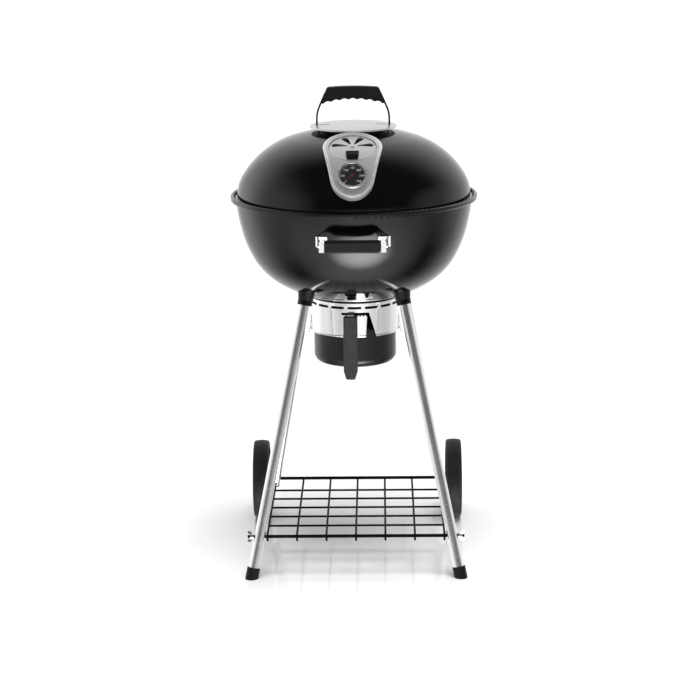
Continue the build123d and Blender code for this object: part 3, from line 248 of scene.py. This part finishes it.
# %% [markdown]
# ## Moulded plastic
#
# The grips, caps and tabs come out of spark-eroded moulds, whose fine pitted texture hides scratches and
# gives a hand some hold. It is a bump of short noise, about a millimetre across. The lever's plastic is a
# lighter grey, and the wheels' is the dullest.


# %% Plastic
def plastic(name, shade, roughness, grain=0.0006, depth=0.00005):
    finish = Finish(name, IOR=1.46, Specular_IOR_Level=0.25)
    pits = finish.noise(grain, detail=2.0)
    wide = finish.smooth(finish.noise(0.02), 0.35, 0.7)
    finish.feed("Base Color", finish.blend(wide * 0.5 + pits * 0.5, grey(shade * 0.8), grey(shade * 1.35)))
    finish.feed("Roughness", roughness + 0.10 * wide)
    finish.bump(pits, depth)
    return finish


grip_plastic = plastic("grip plastic", 0.006, 0.42)
cap_plastic = plastic("cap plastic", 0.005, 0.48)
lever_plastic = plastic("lever plastic", 0.052, 0.50, grain=0.0009, depth=0.00010)
wheel_plastic = plastic("wheel plastic", 0.020, 0.56, grain=0.0011, depth=0.00012)
dress(grip_plastic, "lid_handle_grip", "front_handle_grip", "vent_tab")
dress(cap_plastic, "foot_caps", "rear_leg_plugs", "axle_caps", "heat_shield_feet")
dress(lever_plastic, "sweep_grip")
dress(wheel_plastic, "right_wheel", "left_wheel")

# %% [markdown]
# ## Bright metal
#
# The metals differ only in colour, polish and the way that the grain runs: the spun heat shield has it round
# the axis, the leg tubes along their length, the ash ring upright, as soft streaks, and the others in no
# direction. So one function makes them all, and takes the squeezed point that gives the grain.


# %% Metals
def metal(name, shade, roughness, grain_place=None, grain=0.0007, depth=0.000004, spread=0.06, metallic=1.0):
    finish = Finish(name, IOR=1.5, Metallic=metallic)
    place = grain_place(finish) if grain_place else finish.place
    lines = finish.noise(grain, place, detail=4.0)
    haze = finish.smooth(finish.noise(0.05), 0.35, 0.7)
    finish.feed("Base Color", finish.blend(lines, grey(shade * 0.93), grey(min(1.0, shade * 1.05))))
    finish.feed("Roughness", roughness + spread * (lines - 0.5) + 0.04 * haze)
    finish.bump(lines, depth)
    return finish


tube = 0.0254


def leg_direction(name):
    """Along a leg, from its box: the tube's own width is taken off the box's width."""
    low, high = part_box(name)
    size = high - low
    side_x = 1 if high.x > 0 else -1
    side_y = 1 if high.y > 0 else -1
    return side_x * (size.x - tube), side_y * (size.y - tube), -size.z


for leg in ("front_right_leg", "front_left_leg", "rear_right_leg", "rear_left_leg"):
    direction = leg_direction(leg)
    name = "leg tube " + leg.replace("_", " ")
    tube_metal = metal(name, 0.90, 0.21, lambda finish: finish.along(direction), metallic=0.88)
    dress(tube_metal, leg)

ring_metal = metal("polished sheet", 0.86, 0.20, lambda finish: finish.along((0, 0, 1)),
                   grain=0.007, spread=0.30)
shield_metal = metal("heat shield steel", 0.60, 0.30, Finish.around, grain=0.0005, metallic=0.85)
satin_metal = metal("satin plate", 0.58, 0.36, grain=0.0008, depth=0.00002, metallic=0.6)
# The plate band is the satin plate's metal in a lighter shade: a painted highlight on the rolled edge.
painted_highlight_band_metal = metal("plate band painted highlight", 0.76, 0.26, grain=0.0008, depth=0.00001, metallic=0.6)
chrome = metal("chrome", 0.92, 0.16, grain=0.004, depth=0.000002, spread=0.03, metallic=0.85)
zinc = metal("zinc plate", 0.50, 0.34, grain=0.0016, depth=0.00001, spread=0.12)
grate_plating = metal("grate plating", 0.68, 0.22, grain=0.003, depth=0.00001)
dress(ring_metal, "ash_ring", "ash_ring_tabs")
dress(shield_metal, "heat_shield")
dress(satin_metal, "vent_plate", "vent_disc", "vent_rivet")
dress(chrome, "front_handle_right_strap", "front_handle_left_strap", "front_handle_screws", "wing_nuts")
dress(chrome, "thermometer_bezel")
dress(zinc, "sweep_bearing", "leg_socket_screws", "axle_spacers", "ash_ring_screws", "ash_pan_clips")
dress(zinc, "sweep_blades", "sweep_pin", "sweep_nut", "sweep_arm", "lid_handle_nuts", "lid_hook")
dress(zinc, "thermometer_case", "thermometer_stem", "thermometer_nut")
dress(grate_plating, "cooking_grate", "charcoal_grate")

# %% [markdown]
# ## The thermometer's face
#
# The dial is a dark printed disc. Its marks are real pieces here, thin plates that lie on the dial, because a
# mark that is only colour would need a picture. They are placed in the dial's own plane, which is found from
# the frame: the middle of the dial's box, and the direction in which the stem runs into the lid.


# %% The dial's plane
def middle_of(name):
    low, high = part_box(name)
    return (low + high) / 2


dial_low, dial_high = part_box("thermometer_dial")
dial_radius = (dial_high.x - dial_low.x) / 2
dial_middle = middle_of("thermometer_dial")
outwards = (dial_middle - middle_of("thermometer_stem")).normalized()
uphill = outwards.cross(Vector((1, 0, 0)))
print("dial radius", round(dial_radius, 4), "faces", [round(part, 3) for part in outwards])

# %% [markdown]
# A mark is a small plate with a thickness. Each is made flat at the origin by one function, and one matrix
# lays it on the dial. The scale runs three quarters of the way round, with a long mark and a number at every
# hundredth degree and short marks between them.


# %% Marks and numbers on the dial
def add_piece(name, mesh, finish, body, smooth=False):
    """Put a mesh in the scene as a piece that moves with a body."""
    piece = bpy.data.objects.new(name, mesh)
    scene.collection.objects.link(piece)
    mesh.materials.clear()
    mesh.materials.append(finish.material)
    if smooth:
        mesh.shade_smooth()
        mesh.set_sharp_from_angle(angle=radians(40))
    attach(piece, body)
    return piece


def mesh_from(work, name):
    """Close a bmesh into a mesh with its faces turned outwards."""
    bmesh.ops.recalc_face_normals(work, faces=work.faces)
    mesh = bpy.data.meshes.new(name)
    work.to_mesh(mesh)
    work.free()
    return mesh


def add_block(work, size, place):
    made = bmesh.ops.create_cube(work, size=1.0, matrix=place @ Matrix.Diagonal((*size, 1.0)))
    return made["verts"]


gauge_axes = Matrix((Vector((1, 0, 0)), uphill, outwards)).transposed().to_4x4()
dial_top = Matrix.Translation(dial_middle + outwards * 0.0004) @ gauge_axes
first_mark = radians(225)
last_mark = radians(-45)
mark_count = 31

print_white = Finish("dial print", IOR=1.45)
print_white.feed("Base Color", print_white.blend(print_white.noise(0.0008), grey(0.80), grey(0.95)))
print_white.feed("Roughness", 0.5 + 0.1 * print_white.noise(0.0005))

work = bmesh.new()
for index in range(mark_count):
    turn = first_mark + (last_mark - first_mark) * index / (mark_count - 1)
    long_mark = index % 5 == 0
    length = 0.0042 if long_mark else 0.0024
    width = 0.0011 if long_mark else 0.0007
    middle = dial_radius * 0.93 - length / 2
    place = dial_top @ Matrix.Rotation(turn, 4, "Z") @ Matrix.Translation((middle, 0, 0.0001))
    add_block(work, (length, width, 0.0002), place)
arc_radius = dial_radius * 0.95
line_steps = 60
for index in range(line_steps):
    turn = first_mark + (last_mark - first_mark) * (index + 0.5) / line_steps
    place = dial_top @ Matrix.Rotation(turn, 4, "Z") @ Matrix.Translation((arc_radius, 0, 0.0001))
    step = arc_radius * abs(last_mark - first_mark) / line_steps
    add_block(work, (0.0005, step * 1.05, 0.0002), place)
add_piece("thermometer_marks", mesh_from(work, "thermometer_marks"), print_white, "lid")

# %% [markdown]
# The numbers are text, turned into meshes once they are in place so that they leave with the model. They
# stand upright on the dial as on most thermometers, inside the long marks.

# %% Numbers
number_pieces = []
for index in range(0, mark_count, 5):
    turn = first_mark + (last_mark - first_mark) * index / (mark_count - 1)
    text = bpy.data.curves.new("dial number", "FONT")
    text.body = str(index * 10)
    text.size = 0.0076
    text.extrude = 0.00008
    text.align_x = "CENTER"
    text.align_y = "CENTER"
    holder = bpy.data.objects.new("dial number", text)
    scene.collection.objects.link(holder)
    reach = dial_radius * 0.66
    holder.matrix_world = dial_top @ Matrix.Translation((reach * cos(turn), reach * sin(turn), 0.0001))
    number_pieces.append(holder)
bpy.context.view_layer.update()
work = bmesh.new()
for holder in number_pieces:
    digits = bpy.data.meshes.new_from_object(holder)
    digits.transform(holder.matrix_world)
    work.from_mesh(digits)
    bpy.data.objects.remove(holder)
add_piece("thermometer_numbers", mesh_from(work, "thermometer_numbers"), print_white, "lid")

dial_paint = Finish("dial paint", IOR=1.45)
dial_paint.feed("Base Color", dial_paint.blend(dial_paint.noise(0.003), grey(0.012), grey(0.022)))
dial_paint.feed("Roughness", 0.45 + 0.1 * dial_paint.noise(0.001))
dress(dial_paint, "thermometer_dial")

needle_paint = Finish("needle paint", IOR=1.45)
red_thin = (0.13, 0.035, 0.03, 1.0)
red_full = (0.21, 0.05, 0.04, 1.0)
needle_paint.feed("Base Color", needle_paint.blend(needle_paint.noise(0.002), red_thin, red_full))
needle_paint.feed("Roughness", 0.4 + 0.1 * needle_paint.noise(0.001))
dress(needle_paint, "thermometer_needle")

clear_glass = Finish("clear glass", IOR=1.5, Specular_IOR_Level=0.3)
smudge = clear_glass.smooth(clear_glass.noise(0.012), 0.45, 0.75)
clear_glass.feed("Base Color", clear_glass.blend(smudge, grey(0.02), grey(0.05)))
clear_glass.feed("Roughness", 0.03 + 0.15 * smudge)
clear_glass.feed("Alpha", 0.12 + 0.05 * smudge)
dress(clear_glass, "thermometer_glass")

# %% [markdown]
# ## The rolled edge of the vent plate
#
# The plate is pressed over the front of the lid, and its edge is rolled: a rounded band all the way round.
# Its metal is the plate's own, painted lighter: a painted highlight where the rolled edge catches the light.
# The frame has the plate with a square edge, so the band is added. It is a tube along the plate's outline,
# which is two arcs and two lines. Their sizes come from the plate's own box and vertices, and a ray sent at
# the plate finds the height of each point.

# %% The band round the plate
plate_up = (middle_of("vent_rivet") - dial_middle).normalized()
plate_out = Vector((1, 0, 0)).cross(plate_up)
plate_low, plate_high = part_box("vent_plate")
plate_middle = (plate_low + plate_high) / 2
large_end = (plate_high.x - plate_low.x) / 2
small_share = 0.735
small_end = large_end * small_share
arc_steps = 40
side_steps = 10
rises = [(vertex.co - plate_middle).dot(plate_up) for vertex in nodes["vent_plate"].data.vertices]
large_centre = max(rises) - large_end
small_centre = min(rises) + small_end


def plate_outline(shrink, steps=arc_steps):
    """The plate's outline in its own plane, made smaller all round: two arcs and the lines that join them."""
    lean = asin((large_end - small_end) / (large_centre - small_centre))
    points = []
    for step in range(steps + 1):
        turn = -lean + (pi + 2 * lean) * step / steps
        reach = large_end - shrink
        points.append((reach * cos(turn), large_centre + reach * sin(turn)))
    for step in range(1, side_steps):
        share = step / side_steps
        side = points[steps]
        reach = small_end - shrink
        foot = (-reach * cos(lean), small_centre - reach * sin(lean))
        points.append((side[0] + (foot[0] - side[0]) * share, side[1] + (foot[1] - side[1]) * share))
    for step in range(steps + 1):
        turn = pi + lean + (pi - 2 * lean) * step / steps
        reach = small_end - shrink
        points.append((reach * cos(turn), small_centre + reach * sin(turn)))
    for step in range(1, side_steps):
        x, y = points[steps + side_steps - step]
        points.append((-x, y))
    return points


def on_plate(x, y):
    """The point of the plate's face over a place in its plane."""
    start = plate_middle + Vector((x, 0, 0)) + plate_up * y + plate_out * 0.1
    hit, place, _, _ = nodes["vent_plate"].ray_cast(start, -plate_out)
    return place if hit else start - plate_out * 0.1


def sweep_round(points, half_width, half_height, outward, sides=14):
    """A closed band with an oval section that follows points round."""
    work = bmesh.new()
    rings = []
    count = len(points)
    for index, point in enumerate(points):
        ahead = (points[(index + 1) % count] - points[index - 1]).normalized()
        across = ahead.cross(outward).normalized()
        upright = across.cross(ahead).normalized()
        ring = []
        for side in range(sides):
            turn = 2 * pi * side / sides
            offset = across * (half_width * cos(turn)) + upright * (half_height * sin(turn))
            ring.append(work.verts.new(point + offset))
        rings.append(ring)
    for index in range(count):
        first, second = rings[index], rings[(index + 1) % count]
        for side in range(sides):
            after = (side + 1) % sides
            work.faces.new((first[side], first[after], second[after], second[side]))
    return work


band_half = 0.0034
band_rise = 0.0019
band_points = [on_plate(x, y) for x, y in plate_outline(band_half * 0.8)]
work = sweep_round(band_points, band_half, band_rise, plate_out)
band_mesh = mesh_from(work, "vent_plate_band")
add_piece("vent_plate_band", band_mesh, painted_highlight_band_metal, "lid", smooth=True)
print("points round the plate's band:", len(band_points))

# %% [markdown]
# ## Floor, light and camera
#
# The floor is a wide, pale, slightly polished surface, so the grill stands in soft shadow and the shelf's
# wires are faintly mirrored. It isn't part of the object.

# %% Floor
floor_mesh = bpy.data.meshes.new("floor")
floor_reach = 60.0
corners = [(-floor_reach, -floor_reach, 0), (floor_reach, -floor_reach, 0),
           (floor_reach, floor_reach, 0), (-floor_reach, floor_reach, 0)]
floor_mesh.from_pydata(corners, [], [(0, 1, 2, 3)])
floor = bpy.data.objects.new("floor", floor_mesh)
scene.collection.objects.link(floor)
floor_finish = Finish("studio floor", IOR=1.45, Specular_IOR_Level=0.25)
floor_finish.feed("Base Color", floor_finish.blend(floor_finish.noise(0.8), grey(0.90), grey(0.93)))
floor_finish.feed("Roughness", 0.06 + 0.04 * floor_finish.noise(0.4))
floor_mesh.materials.append(floor_finish.material)
floor.visible_glossy = False

# %% [markdown]
# Gloss black shows nothing but what it mirrors, so the room matters more than the lamp. The room round the
# grill is bright behind and at the sides and dim in front, which leaves the middle of the kettle black and
# lets its edges wash out into the light. Straight down it is bright too, as the lit floor is. One broad
# patch, low in front and wider than it is high, gives the soft light under the carrying handle.
#
# Only mirrored rays see this room. The matt surfaces are lit by a plain even sky and by a broad soft glow
# from above, which casts the shadow on the floor, and the camera sees plain white.

# %% Light
world = bpy.data.worlds.new("studio")
world.use_nodes = True
scene.world = world
room = Graph(world.node_tree)
heading = room.node("ShaderNodeTexCoord", out="Generated")
x = room.node("ShaderNodeSeparateXYZ", {}, {0: heading}, out=0)
y = room.node("ShaderNodeSeparateXYZ", {}, {0: heading}, out=1)
z = room.node("ShaderNodeSeparateXYZ", {}, {0: heading}, out=2)
behind = room.smooth(y, 0.05, 0.75)
left = room.smooth(0 - x, 0.50, 1.0)
right = room.smooth(x, 0.76, 1.0)
below = room.smooth(0 - z, 0.80, 1.0)
front = room.smooth(0 - y, 0.80, 1.0) * room.smooth(0 - z, 0.0, 0.3) * 0.30
patch_widening = 0.30
towards_patch = 0.05 * x + patch_widening * x * x - 0.68 * y - 0.73 * z
patch_glow = 2.2 * room.smooth(towards_patch, 0.60, 1.10)
patch_core = 12.0 * room.smooth(towards_patch, 0.94, 1.01)
patch = patch_glow + patch_core
dimmest = 0.05
mirrored = dimmest + 1.0 * behind + 0.90 * left + 0.60 * right + 0.55 * below + front + patch
glossy = room.node("ShaderNodeLightPath", out="Is Glossy Ray")
seen = room.node("ShaderNodeLightPath", out="Is Camera Ray")
plain = 0.50
strength = plain + glossy * (mirrored - plain) + seen * (1.0 - plain)
backdrop = room.node("ShaderNodeBackground", {}, {"Color": grey(1.0), "Strength": strength})
outlet = room.tree.nodes.new("ShaderNodeOutputWorld")
room.tree.links.new(backdrop.socket, outlet.inputs[0])

sun = bpy.data.lights.new("overhead glow", "SUN")
sun.angle = radians(32)
sun.energy = 2.6
overhead = bpy.data.objects.new("overhead glow", sun)
scene.collection.objects.link(overhead)
overhead.rotation_euler = (radians(8), radians(4), 0)
overhead.visible_glossy = False

# %% [markdown]
# The camera stands five metres in front, a little above the grill, with a long lens. Its turn about its own
# line of sight is the small tilt of the view.

# %% Camera
lens = bpy.data.cameras.new("camera")
lens.sensor_width = 36.0
lens.lens = 114.5
stand = Vector((0.0623, -5.2703, 1.7349))
camera = bpy.data.objects.new("camera", lens)
scene.collection.objects.link(camera)
scene.camera = camera
sight = Vector((-0.0139, 0.9733, -0.2290))
tilt = radians(-0.6)
camera.matrix_world = (Matrix.Translation(stand)
                       @ sight.to_track_quat("-Z", "Y").to_matrix().to_4x4()
                       @ Matrix.Rotation(tilt, 4, "Z"))
scene.view_settings.view_transform = "Standard"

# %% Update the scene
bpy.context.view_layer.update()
